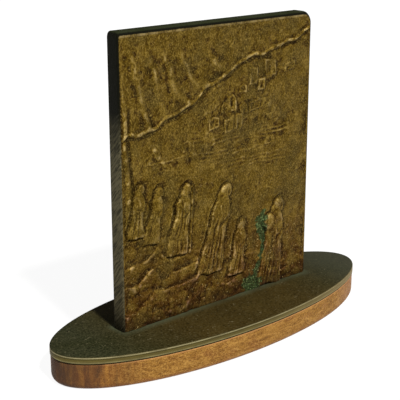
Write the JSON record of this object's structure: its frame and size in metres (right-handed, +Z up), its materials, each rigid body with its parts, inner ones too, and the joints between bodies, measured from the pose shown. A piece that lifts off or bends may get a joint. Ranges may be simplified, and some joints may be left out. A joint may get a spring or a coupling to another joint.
{
  "type": "commemorative desk plaque",
  "caption": "Upright cast bronze relief slab with robed walkers under a hill, standing on an oval bronze plate over an oval wooden base.",
  "frame": {"origin": "centre of the oval base at its underside", "axes": "+Z up; +X along the oval, to the right of someone who faces the relief; the relief faces -Y"},
  "size_m": [0.197, 0.073, 0.1586],
  "materials": {
    "relief_bronze": "cast bronze, golden brown on the relief, black-green patina on the edges and back, verdigris in one deep cut",
    "dark_bronze": "flat bronze plate with a dark olive patina on top and a rubbed brassy edge",
    "base_wood": "tan hardwood with fine short grain, darker stains at the left end"
  },
  "bodies": {
    "root": {"relief_slab": "relief_bronze", "base_plate": "dark_bronze", "wooden_base": "base_wood"}
  },
  "joints": []
}
